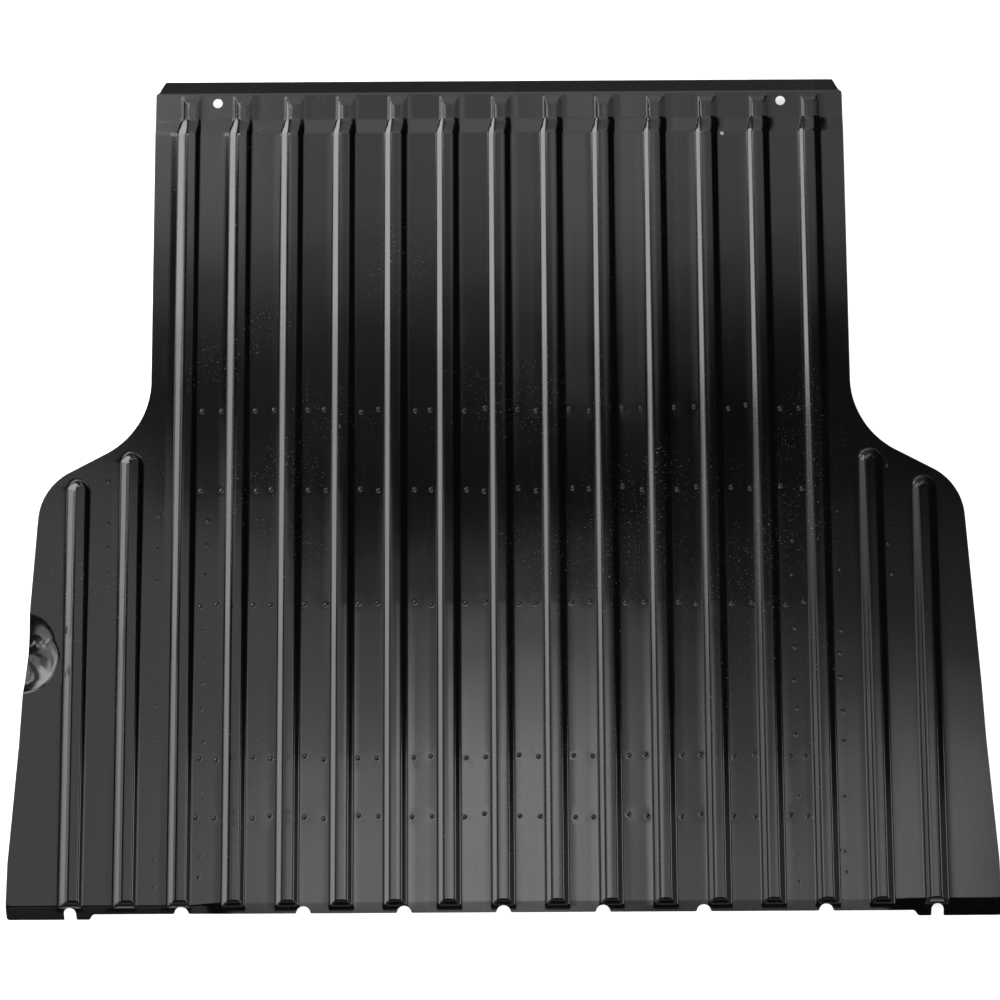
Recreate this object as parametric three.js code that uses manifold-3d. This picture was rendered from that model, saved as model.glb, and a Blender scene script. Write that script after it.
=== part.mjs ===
// Floor pan of a pickup bed: a ribbed steel sheet spot welded on cross sills and long sills, with the pads and captive
// nuts that bolt it to the truck's frame. Millimetres. +X is the truck's right-hand side, +Y its front, +Z up.
// The origin is the middle of the box round the part, on the surface that the mount pads stand on.
import * as THREE from 'three';
import { mergeVertices } from 'three/addons/utils/BufferGeometryUtils.js';
import Module from 'manifold-3d';

const wasm = await Module();
wasm.setup();

// ---- Driving dimensions ----
const tabDepth = 8;          // how far the outer rear tabs reach past the rear edge
const panelLength = 1270;    // rear edge to the end of the front lip
const gap = 0.3;             // between touching pieces
const steel = 1.2;           // floor sheet
const sillSteel = 1.6;
const sillDepth = 45;
const padSteel = 3;

const ribPitch = 80;
const ribHeight = 6.4;
const ribBase = 17.2;        // half widths of a rib
const ribTop = 8.2;
const longRibs = 6;          // ribs on each side of the centre one that run the whole length
const ribRear = 10;          // where every rib starts, from the rear edge, and the length of its rear ramp
const ribRamp = 9;
const shortRibs = [{ index: 7, end: 690 }, { index: 8, end: 648 }];

const rearBend = 18;         // the rear strip slopes down behind this line
const rearDrop = 5;
const joggle = { start: 1190, end: 1213, drop: 3.5 };
const stripRib = { height: 3.6, ramp: 7, end: 1247 };   // a rib's lower run across the front strip
const frontBend = 1250;      // the front lip slopes down ahead of this line
const lipDrop = 8;

const narrow = 533;          // half width between the wheel houses
const frontEnd = 520;        // half width of the front lip's end
const shoulderSlope = THREE.MathUtils.degToRad(27.5);
const shoulderInner = { x: 533, d: 724, radius: 125 };
const shoulderOuter = { x: 698, d: 638, radius: 86 };
const side = [[718, 330], [722, 250], [735, 75], [736.5, 0]];

const weldRows = { second: [631.8, 754.2], third: 458.5, fourth: [140.4, 228.2] };
const weldColumns = [444, 514];
const bracketColumn = { x: 592, from: 463, to: 668 };
const flange = 22;           // width of a cross sill's flange
const longFlange = 20;
const sillEnd = 528;         // half length of a cross sill

const notches = [0, -147, 147, -296, 296, -477, 477];
const notchRadius = 10.5;
const slots = [-642, 642];
const slot = { radius: 9, centre: 1 };
const frontHole = { x: 437, d: 1240, radius: 7.5 };
const drainHole = { x: 345, d: 1187, radius: 3 };
const relief = { x: 736.5, d: 382, reach: 60, half: 62, depth: 12 };   // filler hose clearance, left edge

const pad = { length: 90, width: 60, corner: 8 };
const bolt = { hole: 6.5, nutRadius: 12.7, nutHeight: 10, nutHole: 5.2 };

// ---- Levels ----
const rearEdge = -(panelLength + tabDepth) / 2 + tabDepth;
const sillBottom = padSteel + gap;
const sillTop = sillBottom + sillDepth;
const floorTop = sillTop + gap + steel;
const mountX = (weldColumns[0] + weldColumns[1]) / 2;
const middle = ([a, b]) => (a + b) / 2;

const part = new THREE.Group();
part.name = 'bed_floor_pan';
const materials = {
  sheet: new THREE.MeshStandardMaterial({ name: 'sheet', color: 0x17181a, roughness: 0.3, metalness: 0 }),
  sill: new THREE.MeshStandardMaterial({ name: 'sill', color: 0x141516, roughness: 0.38, metalness: 0 }),
  nut: new THREE.MeshStandardMaterial({ name: 'nut', color: 0x5a564c, roughness: 0.4, metalness: 1 }),
};

// ---- Solids ----
function solidOf(geometry) {
  const bare = geometry.index ? geometry.toNonIndexed() : geometry.clone();
  bare.deleteAttribute('normal');
  bare.deleteAttribute('uv');
  const merged = mergeVertices(bare, 1e-4);
  return new wasm.Manifold(new wasm.Mesh({
    numProp: 3,
    vertProperties: new Float32Array(merged.attributes.position.array),
    triVerts: new Uint32Array(merged.index.array),
  }));
}

function geometryOf(solid) {
  const mesh = solid.getMesh();
  const geometry = new THREE.BufferGeometry();
  geometry.setAttribute('position', new THREE.BufferAttribute(mesh.vertProperties.slice(), 3));
  geometry.setIndex(new THREE.BufferAttribute(mesh.triVerts.slice(), 1));
  geometry.computeVertexNormals();
  return geometry;
}

function add(name, material, geometry, x = 0, y = 0, z = 0) {
  const mesh = new THREE.Mesh(geometry, materials[material]);
  mesh.name = name;
  mesh.position.set(x, y, z);
  part.add(mesh);
}

// A prism of an outline in the XY plane, from one level up to another.
function prism(shape, bottom, top, curveSegments = 8) {
  const geometry = new THREE.ExtrudeGeometry(shape, { depth: top - bottom, bevelEnabled: false, curveSegments });
  return geometry.translate(0, 0, bottom);
}

function cylinder(x, y, radius, bottom, top, sides = 16) {
  const geometry = new THREE.CylinderGeometry(radius, radius, top - bottom, sides);
  return geometry.rotateX(Math.PI / 2).translate(x, y, (bottom + top) / 2);
}

// ---- Floor panel ----
const ribs = [];
for (let index = -longRibs; index <= longRibs; index += 1) ribs.push({ index, end: null });
for (const { index, end } of shortRibs) ribs.push({ index, end }, { index: -index, end });
ribs.sort((a, b) => a.index - b.index);

// A value that runs in straight lines through [place, value] pairs.
function along(pairs, at) {
  if (at <= pairs[0][0]) return pairs[0][1];
  for (let i = 1; i < pairs.length; i += 1) {
    const [x0, y0] = pairs[i - 1];
    const [x1, y1] = pairs[i];
    if (at <= x1) return y0 + (y1 - y0) * (at - x0) / (x1 - x0);
  }
  return pairs[pairs.length - 1][1];
}

const baseLevel = [
  [-tabDepth, -rearDrop * (rearBend + tabDepth) / rearBend], [rearBend, 0], [joggle.start, 0],
  [joggle.end, -joggle.drop], [frontBend, -joggle.drop], [panelLength, -joggle.drop - lipDrop],
];

function ribLevel(rib, d) {
  const ends = rib.end === null
    ? [
      [joggle.start, ribHeight], [joggle.end, stripRib.height],
      [stripRib.end - stripRib.ramp, stripRib.height], [stripRib.end, 0],
    ]
    : [[rib.end - ribRamp, ribHeight], [rib.end, 0]];
  return along([[ribRear, 0], [ribRear + ribRamp, ribHeight], ...ends], d);
}

function reliefLevel(x, d) {
  const across = Math.max(0, 1 - (x + relief.x) / relief.reach);
  const length = Math.max(0, 1 - Math.abs(d - relief.d) / relief.half);
  return -relief.depth * Math.min(1, 1.6 * length) * across;
}

function level(x, d) {
  let height = along(baseLevel, d) + reliefLevel(x, d);
  for (const rib of ribs) {
    const inside = (ribBase - Math.abs(x - rib.index * ribPitch)) / (ribBase - ribTop);
    if (inside > 0) height += ribLevel(rib, d) * Math.min(1, inside);
  }
  return floorTop + height;
}

// The sheet between a rib profile's lines, as one closed solid of the sheet's thickness.
function ribbedSheet(xs, ds) {
  const top = (i, j) => 2 * (j * xs.length + i);
  const positions = [];
  for (const d of ds) {
    for (const x of xs) {
      const z = level(x, d);
      positions.push(x, rearEdge + d, z, x, rearEdge + d, z - steel);
    }
  }
  const index = [];
  const quad = (a, b, c, d) => index.push(a, b, c, a, c, d);
  const lastX = xs.length - 1;
  const lastD = ds.length - 1;
  for (let j = 0; j < lastD; j += 1) {
    for (let i = 0; i < lastX; i += 1) {
      quad(top(i, j), top(i + 1, j), top(i + 1, j + 1), top(i, j + 1));
      quad(top(i, j) + 1, top(i, j + 1) + 1, top(i + 1, j + 1) + 1, top(i + 1, j) + 1);
    }
    quad(top(0, j) + 1, top(0, j), top(0, j + 1), top(0, j + 1) + 1);
    quad(top(lastX, j), top(lastX, j) + 1, top(lastX, j + 1) + 1, top(lastX, j + 1));
  }
  for (let i = 0; i < lastX; i += 1) {
    quad(top(i, 0) + 1, top(i + 1, 0) + 1, top(i + 1, 0), top(i, 0));
    quad(top(i, lastD), top(i + 1, lastD), top(i + 1, lastD) + 1, top(i, lastD) + 1);
  }
  const geometry = new THREE.BufferGeometry();
  geometry.setAttribute('position', new THREE.Float32BufferAttribute(positions, 3));
  geometry.setIndex(index);
  return geometry;
}

// One half of the panel's edge, from the rear to the front, as [half width, distance from the rear edge].
function halfOutline() {
  const slopeX = Math.cos(shoulderSlope);
  const slopeD = Math.sin(shoulderSlope);
  const edge = [[606, 0], [613, -tabDepth], [side[3][0], -tabDepth], ...side.slice().reverse()];
  // Outer corner: from the flared side to the shoulder's slope.
  const flare = Math.atan2(side[0][0] - shoulderOuter.x, shoulderOuter.d - side[0][1]);
  const outerTurn = Math.PI / 2 - shoulderSlope - flare;
  const outerTangent = shoulderOuter.radius * Math.tan(outerTurn / 2);
  const outerStart = [
    shoulderOuter.x + outerTangent * Math.sin(flare), shoulderOuter.d - outerTangent * Math.cos(flare),
  ];
  const outerCentre = [
    outerStart[0] - shoulderOuter.radius * Math.cos(flare), outerStart[1] - shoulderOuter.radius * Math.sin(flare),
  ];
  for (let step = 0; step <= 6; step += 1) {
    const angle = flare + outerTurn * step / 6;
    edge.push([
      outerCentre[0] + shoulderOuter.radius * Math.cos(angle), outerCentre[1] + shoulderOuter.radius * Math.sin(angle),
    ]);
  }
  // Inner corner: from the slope to the straight side between the wheel houses.
  const innerTurn = Math.PI / 2 - shoulderSlope;
  const innerTangent = shoulderInner.radius * Math.tan(innerTurn / 2);
  const innerCentre = [shoulderInner.x + shoulderInner.radius, shoulderInner.d + innerTangent];
  for (let step = 0; step <= 7; step += 1) {
    const angle = Math.atan2(-slopeX, -slopeD) - innerTurn * step / 7;
    edge.push([
      innerCentre[0] + shoulderInner.radius * Math.cos(angle), innerCentre[1] + shoulderInner.radius * Math.sin(angle),
    ]);
  }
  edge.push([narrow, frontBend - 2], [narrow - 5, frontBend + 2], [frontEnd, panelLength]);
  return edge;
}

function floorPanel() {
  const xs = [-745, 745];
  for (const rib of ribs) for (const half of [-ribBase, -ribTop, ribTop, ribBase]) xs.push(rib.index * ribPitch + half);
  xs.push(relief.reach / 2 - relief.x, relief.reach - relief.x);
  const ds = [
    -tabDepth, rearBend, ribRear, ribRear + ribRamp, joggle.start, joggle.end,
    stripRib.end - stripRib.ramp, stripRib.end, frontBend, panelLength,
    relief.d - relief.half, relief.d - relief.half / 3, relief.d + relief.half / 3, relief.d + relief.half,
  ];
  for (const { end } of shortRibs) ds.push(end - ribRamp, end);
  const ascending = (a, b) => a - b;

  const half = halfOutline();
  const shape = new THREE.Shape();
  half.forEach(([x, d], i) => (i ? shape.lineTo(x, rearEdge + d) : shape.moveTo(x, rearEdge + d)));
  half.reverse().forEach(([x, d]) => shape.lineTo(-x, rearEdge + d));

  const low = floorTop - 60;
  const high = floorTop + 60;
  let solid = solidOf(ribbedSheet(xs.sort(ascending), ds.sort(ascending)));
  solid = solid.intersect(solidOf(prism(shape, low, high)));
  const cuts = [
    ...notches.map((x) => cylinder(x, rearEdge, notchRadius, low, high)),
    ...slots.map((x) => cylinder(x, rearEdge + slot.centre, slot.radius, low, high)),
    ...slots.map((x) => new THREE.BoxGeometry(2 * slot.radius, 2 * tabDepth, high - low)
      .translate(x, rearEdge + slot.centre - tabDepth, (low + high) / 2)),
    cylinder(-frontHole.x, rearEdge + frontHole.d, frontHole.radius, low, high),
    cylinder(frontHole.x, rearEdge + frontHole.d, frontHole.radius, low, high),
    cylinder(drainHole.x, rearEdge + drainHole.d, drainHole.radius, low, high, 8),
  ];
  for (const cut of cuts) solid = solid.subtract(solidOf(cut));
  return geometryOf(solid);
}

// ---- Sills ----
// Half sections in the plane across the sill: [across, height above the sill's bottom].
function hatSection(bodyTop, bodyBottom, rim) {
  const t = sillSteel;
  const outer = [[rim, sillDepth], [rim, sillDepth - t], [bodyTop, sillDepth - t], [bodyBottom, 0]];
  const inner = [[bodyBottom - t, t], [bodyTop - t, sillDepth]];
  const points = [
    ...outer, ...outer.slice().reverse().map(([a, h]) => [-a, h]),
    ...inner.slice().reverse().map(([a, h]) => [-a, h]), ...inner,
  ];
  return points;
}

// A step section: a weld flange at the top, a web, and a lower flange on the other side of it.
function stepSection(topWidth, bottomWidth, depth) {
  const t = sillSteel;
  return [
    [0, depth - t], [0, 0], [-bottomWidth, 0], [-bottomWidth, t], [-t, t], [-t, depth], [topWidth, depth],
    [topWidth, depth - t],
  ];
}

// A section run along +X over a length, centred on x = 0, with its first coordinate along +Y.
function runX(section, length) {
  const shape = new THREE.Shape(section.map(([a, h]) => new THREE.Vector2(a, h)));
  const geometry = new THREE.ExtrudeGeometry(shape, { depth: length, bevelEnabled: false });
  return geometry.translate(0, 0, -length / 2).rotateX(Math.PI / 2).rotateZ(Math.PI / 2);
}

// A section run along +Y, centred on y = 0, with its first coordinate along +X.
function runY(section, length) {
  const shape = new THREE.Shape(section.map(([a, h]) => new THREE.Vector2(a, h)));
  const geometry = new THREE.ExtrudeGeometry(shape, { depth: length, bevelEnabled: false });
  return geometry.translate(0, 0, -length / 2).rotateX(Math.PI / 2);
}

function hatCrossSill(rows, bottomShare) {
  const spread = (rows[1] - rows[0]) / 2;
  const body = spread - flange / 2;
  let solid = solidOf(runX(hatSection(body, body * bottomShare, spread + flange / 2), 2 * sillEnd));
  for (const x of [-mountX, mountX]) solid = solid.subtract(solidOf(cylinder(x, 0, bolt.hole, -5, 5)));
  return geometryOf(solid);
}

const sillRows = {
  second: middle(weldRows.second),
  fourth: middle(weldRows.fourth),
};
for (const [name, d] of Object.entries(sillRows)) {
  add(`${name}_cross_sill`, 'sill', hatCrossSill(weldRows[name], 0.86), 0, rearEdge + d, sillBottom);
}
const thirdWeb = weldRows.third - flange / 2;
const thirdFoot = 24;
add('third_cross_sill', 'sill', runX(stepSection(flange, thirdFoot, sillDepth), 2 * sillEnd),
  0, rearEdge + thirdWeb, sillBottom);

const clear = 2;
const reach = {
  rear: [rearBend + clear, weldRows.fourth[0] - flange / 2 - clear],
  middle: [weldRows.fourth[1] + flange / 2 + clear, thirdWeb - thirdFoot - clear],
  front: [weldRows.third + flange / 2 + clear, weldRows.second[0] - flange / 2 - clear],
};
const longSpread = (weldColumns[1] - weldColumns[0]) / 2;
const longBody = longSpread - longFlange / 2;
for (const [hand, sign] of [['left', -1], ['right', 1]]) {
  for (const [place, [from, to]] of Object.entries(reach)) {
    const section = hatSection(longBody, longBody - 3, longSpread + longFlange / 2);
    add(`long_sill_${hand}_${place}`, 'sill', runY(section, to - from),
      sign * mountX, rearEdge + (from + to) / 2, sillBottom);
  }
}

// ---- Wheel house brackets ----
const bracketDepth = 38;
for (const [hand, sign] of [['left', -1], ['right', 1]]) {
  const points = stepSection(longFlange, longFlange, bracketDepth).map(([a, h]) => [-sign * a, h]);
  if (sign < 0) points.reverse();
  add(`wheel_house_bracket_${hand}`, 'sill', runY(points, bracketColumn.to - bracketColumn.from),
    sign * (bracketColumn.x + longFlange / 2), rearEdge + (bracketColumn.from + bracketColumn.to) / 2,
    sillTop - bracketDepth);
}

// ---- Body mounts: a pad under the sill and a captive nut inside it ----
function padGeometry() {
  const { length, width, corner } = pad;
  const shape = new THREE.Shape();
  shape.moveTo(-length / 2 + corner, -width / 2);
  for (const [cx, cy, start] of [[1, -1, -0.5], [1, 1, 0], [-1, 1, 0.5], [-1, -1, 1]]) {
    shape.absarc(cx * (length / 2 - corner), cy * (width / 2 - corner), corner,
      start * Math.PI, (start + 0.5) * Math.PI, false);
  }
  shape.holes.push(new THREE.Path().absarc(0, 0, bolt.hole, 0, 2 * Math.PI, true));
  return prism(shape, 0, padSteel, 4);
}

function nutGeometry() {
  const shape = new THREE.Shape();
  for (let corner = 0; corner < 6; corner += 1) {
    const angle = corner * Math.PI / 3;
    const point = [bolt.nutRadius * Math.cos(angle), bolt.nutRadius * Math.sin(angle)];
    if (corner) shape.lineTo(...point);
    else shape.moveTo(...point);
  }
  shape.holes.push(new THREE.Path().absarc(0, 0, bolt.nutHole, 0, 2 * Math.PI, true));
  return prism(shape, 0, bolt.nutHeight);
}

for (const [hand, sign] of [['left', -1], ['right', 1]]) {
  for (const [place, d] of [['front', sillRows.second], ['rear', sillRows.fourth]]) {
    const y = rearEdge + d;
    add(`mount_pad_${hand}_${place}`, 'sill', padGeometry(), sign * mountX, y, 0);
    add(`weld_nut_${hand}_${place}`, 'nut', nutGeometry(), sign * mountX, y, sillBottom + sillSteel + gap);
  }
}

add('floor_panel', 'sheet', floorPanel());

export default part;
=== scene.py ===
"""Visual model of a pickup bed floor pan: a ribbed steel sheet in black electrocoat on its welded sills.

The panel's own sizes are in millimetres, as distances from its rear edge (d) and from its centre line (x).
Levels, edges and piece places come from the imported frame, which is in metres.
"""
import math

import bpy
import numpy as np
from mathutils import Matrix, Vector
from mathutils.geometry import delaunay_2d_cdt

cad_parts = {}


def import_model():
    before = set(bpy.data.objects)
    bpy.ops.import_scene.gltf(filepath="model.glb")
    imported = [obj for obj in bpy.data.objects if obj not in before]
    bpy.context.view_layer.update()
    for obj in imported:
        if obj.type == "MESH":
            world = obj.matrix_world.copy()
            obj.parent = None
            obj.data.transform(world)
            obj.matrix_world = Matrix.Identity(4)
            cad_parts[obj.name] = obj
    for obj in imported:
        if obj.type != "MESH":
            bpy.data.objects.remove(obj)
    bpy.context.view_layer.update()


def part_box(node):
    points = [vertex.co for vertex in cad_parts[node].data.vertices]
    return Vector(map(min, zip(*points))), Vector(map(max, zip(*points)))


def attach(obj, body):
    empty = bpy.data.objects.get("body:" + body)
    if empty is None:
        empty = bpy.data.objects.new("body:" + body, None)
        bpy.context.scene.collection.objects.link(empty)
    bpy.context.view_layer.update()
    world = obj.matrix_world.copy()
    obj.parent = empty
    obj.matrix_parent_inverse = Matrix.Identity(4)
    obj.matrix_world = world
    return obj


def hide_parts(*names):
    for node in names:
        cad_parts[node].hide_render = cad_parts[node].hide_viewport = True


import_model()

MM = 0.001
rng = np.random.default_rng(7)

# ---- Panel sizes, mm ----
TAB_DEPTH = 8
PANEL_LENGTH = 1277
STEEL = 1.2
RIB_PITCH = 80
RIB_HEIGHT = 6.4
RIB_BASE = 17.2
RIB_TOP = 8.2
RIB_FILLET = 0.3
RIB_REAR = 10
RIB_RAMP = 9
LONG_RIBS = 6
SHORT_RIBS = {7: 690, 8: 648}
# The width of the round at a rib's corners, as a share of its height.
RIB_CORNER = 0.22
# How far the left ribs' tops stand to the right of their middle.
SKEW = 3.2

REAR_BEND = 18
JOGGLE_START, JOGGLE_END, JOGGLE_DROP = 1190, 1213, 3.5
JOGGLE_BEND = 0.16
# The ribs' lower run over the front strip, with its half widths at the base and at the top.
STRIP_RIB = {"left": (11, 6), "right": (18.6, 9), "height": 2.5, "end": 1251, "ramp": 14}
FRONT_BEND = 1255
LIP_SLOPE = 0.4

WELD_ROWS = (140.4, 228.2, 458.5, 631.8, 754.2)
WELD_PAIR = 14
# The columns' distance from the centre line, and their first weld, last and pitch.
WELD_COLUMNS = ((444, 46, 622, 42), (514, 46, 622, 42), (592, 466, 665, 38))
INNER_COLUMN, OUTER_COLUMN, BRACKET_COLUMN = (column[0] for column in WELD_COLUMNS)
COLUMN_SHIFT = 5
ROW_WELD = {"dent": 0.16, "nub": 1.7, "radius": 2.15}
COLUMN_WELD = {"dent": 0.02, "nub": 0.75, "radius": 1.5}
DENT_RADIUS = 5.5
# How far the sheet stands up along each row of welds, falling away over RIDGE_REACH on both sides.
RIDGES = (0.12, 0.2, 0.4, 0.26, 0.12)
RIDGE_REACH = 30
WAVE = 0.34

NOTCHES = (0, -147, 147, -296, 296, -477, 477)
NOTCH_RADIUS = 10.5
SLOT_X = 642
SLOT_RADIUS = 9
SLOT_CENTRE = 1
FRONT_HOLES = ((-437, 1240, 7.5), (437, 1240, 7.5), (345, 1187, 3))
# The left edge's dish: its middle, half sizes, depth, and its rear half's slope and how much that eases.
RELIEF = {"x": -722, "d": 386, "across": 58, "along": 60, "depth": 17.5, "slope": 29.8, "ease": 15.3}
RELIEF_RIM = 0.965

low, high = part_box("floor_panel")
REAR_EDGE = low[1] / MM + TAB_DEPTH
FLOOR_TOP = high[2] / MM - RIB_HEIGHT


# ---- Small maths ----
def smooth_min(a, b, blend):
    h = np.clip(0.5 + 0.5 * (b - a) / blend, 0, 1)
    return b + (a - b) * h - blend * h * (1 - h)


def smooth_max(a, b, blend):
    return -smooth_min(-a, -b, blend)


def smooth_clamp(value, blend):
    return smooth_max(smooth_min(value, 1.0, blend), 0.0, blend)


def smooth_step(value, start, end):
    t = np.clip((value - start) / (end - start), 0, 1)
    return t * t * (3 - 2 * t)


def waves(count, shortest, longest, height):
    """Random long waves of the sheet, as a function of place."""
    length = rng.uniform(shortest, longest, count)
    angle = rng.uniform(0, math.pi, count)
    phase = rng.uniform(0, 2 * math.pi, count)
    kx = 2 * math.pi / length * np.cos(angle)
    kd = 2 * math.pi / length * np.sin(angle)
    size = height * length / longest / math.sqrt(count)

    def sample(x, d):
        total = np.zeros_like(x)
        for a, b, p, s in zip(kx, kd, phase, size):
            total += s * np.sin(a * x + b * d + p)
        return total

    return sample


# ---- The panel's outline ----
NARROW = 533
FRONT_END = 520
SHOULDER_SLOPE = math.radians(27.5)
SHOULDER_INNER = {"x": 533, "d": 724, "radius": 125}
SHOULDER_OUTER = {"x": 698, "d": 638, "radius": 86}
SIDE = ((736.5, 0), (735, 75), (722, 250), (718, 330))


def arc(centre, radius, start, turn, steps):
    angles = [start + turn * i / steps for i in range(steps + 1)]
    return [(centre[0] + radius * math.cos(a), centre[1] + radius * math.sin(a)) for a in angles]


def half_outline():
    """The right half of the edge, from the rear centre to the front centre, as (x, d)."""
    edge = [(606, 0), (609, -1.5), (613, -TAB_DEPTH + 1), (615, -TAB_DEPTH)]
    edge += [(SLOT_X - SLOT_RADIUS - 1, -TAB_DEPTH), (SLOT_X - SLOT_RADIUS, -TAB_DEPTH + 1)]
    edge += arc((SLOT_X, SLOT_CENTRE), SLOT_RADIUS, math.pi, -math.pi, 12)
    edge += [(SLOT_X + SLOT_RADIUS, -TAB_DEPTH + 1), (SLOT_X + SLOT_RADIUS + 1, -TAB_DEPTH)]
    edge += arc((SIDE[0][0] - 4, -TAB_DEPTH + 4), 4, -math.pi / 2, math.pi / 2, 5)
    edge += list(SIDE)

    flare = math.atan2(SIDE[-1][0] - SHOULDER_OUTER["x"], SHOULDER_OUTER["d"] - SIDE[-1][1])
    turn = math.pi / 2 - SHOULDER_SLOPE - flare
    radius = SHOULDER_OUTER["radius"]
    tangent = radius * math.tan(turn / 2)
    centre = (SHOULDER_OUTER["x"] + tangent * math.sin(flare) - radius * math.cos(flare),
              SHOULDER_OUTER["d"] - tangent * math.cos(flare) - radius * math.sin(flare))
    edge += arc(centre, radius, flare, turn, 20)

    radius = SHOULDER_INNER["radius"]
    turn = math.pi / 2 - SHOULDER_SLOPE
    centre = (SHOULDER_INNER["x"] + radius, SHOULDER_INNER["d"] + radius * math.tan(turn / 2))
    start = math.atan2(-math.cos(SHOULDER_SLOPE), -math.sin(SHOULDER_SLOPE))
    edge += arc(centre, radius, start, -turn, 28)
    edge += [(NARROW, FRONT_BEND - 4), (NARROW - 1, FRONT_BEND), (NARROW - 5, FRONT_BEND + 3),
             (FRONT_END + 1, PANEL_LENGTH - 3), (FRONT_END - 1, PANEL_LENGTH)]
    return edge


def notch(centre):
    """A round notch with its mouth flared into the rear edge, from right to left as seen from above."""
    flare = 2.5
    reach = math.sqrt((NOTCH_RADIUS + flare) ** 2 - flare ** 2)
    lean = math.asin(flare / (NOTCH_RADIUS + flare))
    points = arc((centre - reach, flare), flare, -math.pi / 2, math.pi / 2 - lean, 4)
    points += arc((centre, 0), NOTCH_RADIUS, math.pi - lean, 2 * lean - math.pi, 12)[1:]
    points += arc((centre + reach, flare), flare, math.pi + lean, math.pi / 2 - lean, 4)[1:]
    return points


def dense(points, step):
    """The same closed line with no stretch longer than a step."""
    out = []
    for (x0, d0), (x1, d1) in zip(points, points[1:] + points[:1]):
        parts = max(1, math.ceil(math.hypot(x1 - x0, d1 - d0) / step))
        out += [(x0 + (x1 - x0) * i / parts, d0 + (d1 - d0) * i / parts) for i in range(parts)]
    return out


def outline():
    half = half_outline()
    left = [(-x, d) for x, d in reversed(half)]
    rear = [point for centre in sorted(NOTCHES) for point in notch(centre)]
    return dense(half + left + rear, 9)


# ---- The panel's surface ----
ribs = [(k * RIB_PITCH, None) for k in range(-LONG_RIBS, LONG_RIBS + 1)]
for index, end in SHORT_RIBS.items():
    ribs += [(-index * RIB_PITCH, end), (index * RIB_PITCH, end)]

long_waves = waves(9, 260, 900, 1.1)
short_waves = waves(14, 70, 220, 0.32)


def weld_marks():
    """Every spot weld on the sheet, as x, d, depth of its dent, height of its nub and the nub's radius."""
    marks = []
    for d in WELD_ROWS:
        for flat in range(-LONG_RIBS, LONG_RIBS):
            for side in (-WELD_PAIR, WELD_PAIR):
                x = (flat + 0.5) * RIB_PITCH + side + rng.normal(0, 1.6)
                strength = rng.uniform(0.75, 1.0)
                size = (ROW_WELD["dent"] * strength, ROW_WELD["nub"] * strength, ROW_WELD["radius"])
                marks.append((x, d + rng.normal(0, 1.8), *size))
    for column, first, last, pitch in WELD_COLUMNS:
        for d in np.arange(first, last, pitch):
            if min(abs(d - row) for row in WELD_ROWS) <= 16:
                continue
            for x in (-column, column):
                strength = rng.uniform(0.2, 1.0)
                size = (COLUMN_WELD["dent"], COLUMN_WELD["nub"] * strength, COLUMN_WELD["radius"])
                marks.append((x - COLUMN_SHIFT + rng.normal(0, 2.2), d + rng.normal(0, 7), *size))
    return marks


WELDS = weld_marks()


def joggle_share(d):
    return smooth_clamp((d - JOGGLE_START) / (JOGGLE_END - JOGGLE_START), JOGGLE_BEND)


def base_level(x, d):
    """Height of the flats: down at the front's joggle and lip, and at the rear edge."""
    level = -JOGGLE_DROP * joggle_share(d)
    level = level - LIP_SLOPE * smooth_max(d - FRONT_BEND, 0.0, 2.5)
    steep = 0.12 + 0.6 * smooth_step(-x, 400, 470) + 0.2 * smooth_step(x, 560, 620)
    bend = REAR_BEND - 6 * smooth_step(-x, 400, 470)
    return level - steep * smooth_max(bend - d, 0.0, 2.0)


def ridge_level(x, d):
    """The sheet's slight peak over each row of welds, out to the last long rib."""
    level = np.zeros_like(x)
    uneven = 0.75 + 0.25 * np.sin(x / 31) * np.sin(x / 87 + 1)
    for row, height in zip(WELD_ROWS, RIDGES):
        away = np.sqrt((d - row) ** 2 + 2.5 ** 2)
        level += height * np.exp(-away / RIDGE_REACH)
    return uneven * level * smooth_step(-np.abs(x), -500, -450)


def rib_level(x, d):
    """Height of the ribs above the flats. Over the front strip a rib is lower, and wider on its right."""
    level = np.zeros_like(x)
    strip = joggle_share(d)
    for centre, end in ribs:
        near = np.abs(x - centre) < RIB_BASE + 6
        offset, at, mix = x[near] - centre, d[near], strip[near]
        skew = SKEW * smooth_step(-centre, 250, 600) * np.clip(offset / 6, -1, 1)
        sides = zip(STRIP_RIB["left"], STRIP_RIB["right"])
        strip_base, strip_top = (np.where(offset < 0, left, right) for left, right in sides)
        base = RIB_BASE + (strip_base - RIB_BASE) * mix
        top = RIB_TOP + (strip_top - RIB_TOP) * mix
        tall = RIB_HEIGHT + (STRIP_RIB["height"] - RIB_HEIGHT) * mix
        away = np.abs(offset)
        if end is None:
            front = (STRIP_RIB["end"] - at) / STRIP_RIB["ramp"]
        else:
            front = np.full_like(at, 9.0)
            away = np.hypot(away, np.maximum(0, at - (end - RIB_BASE)))
        wall = (base - 0.3 * skew - away) / (base - 1.3 * skew - top)
        rear = (at - RIB_REAR) / RIB_RAMP
        rise = smooth_min(smooth_min(wall, rear, RIB_CORNER), front, RIB_CORNER)
        level[near] += tall * smooth_clamp(rise, RIB_FILLET)
    return level


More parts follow.
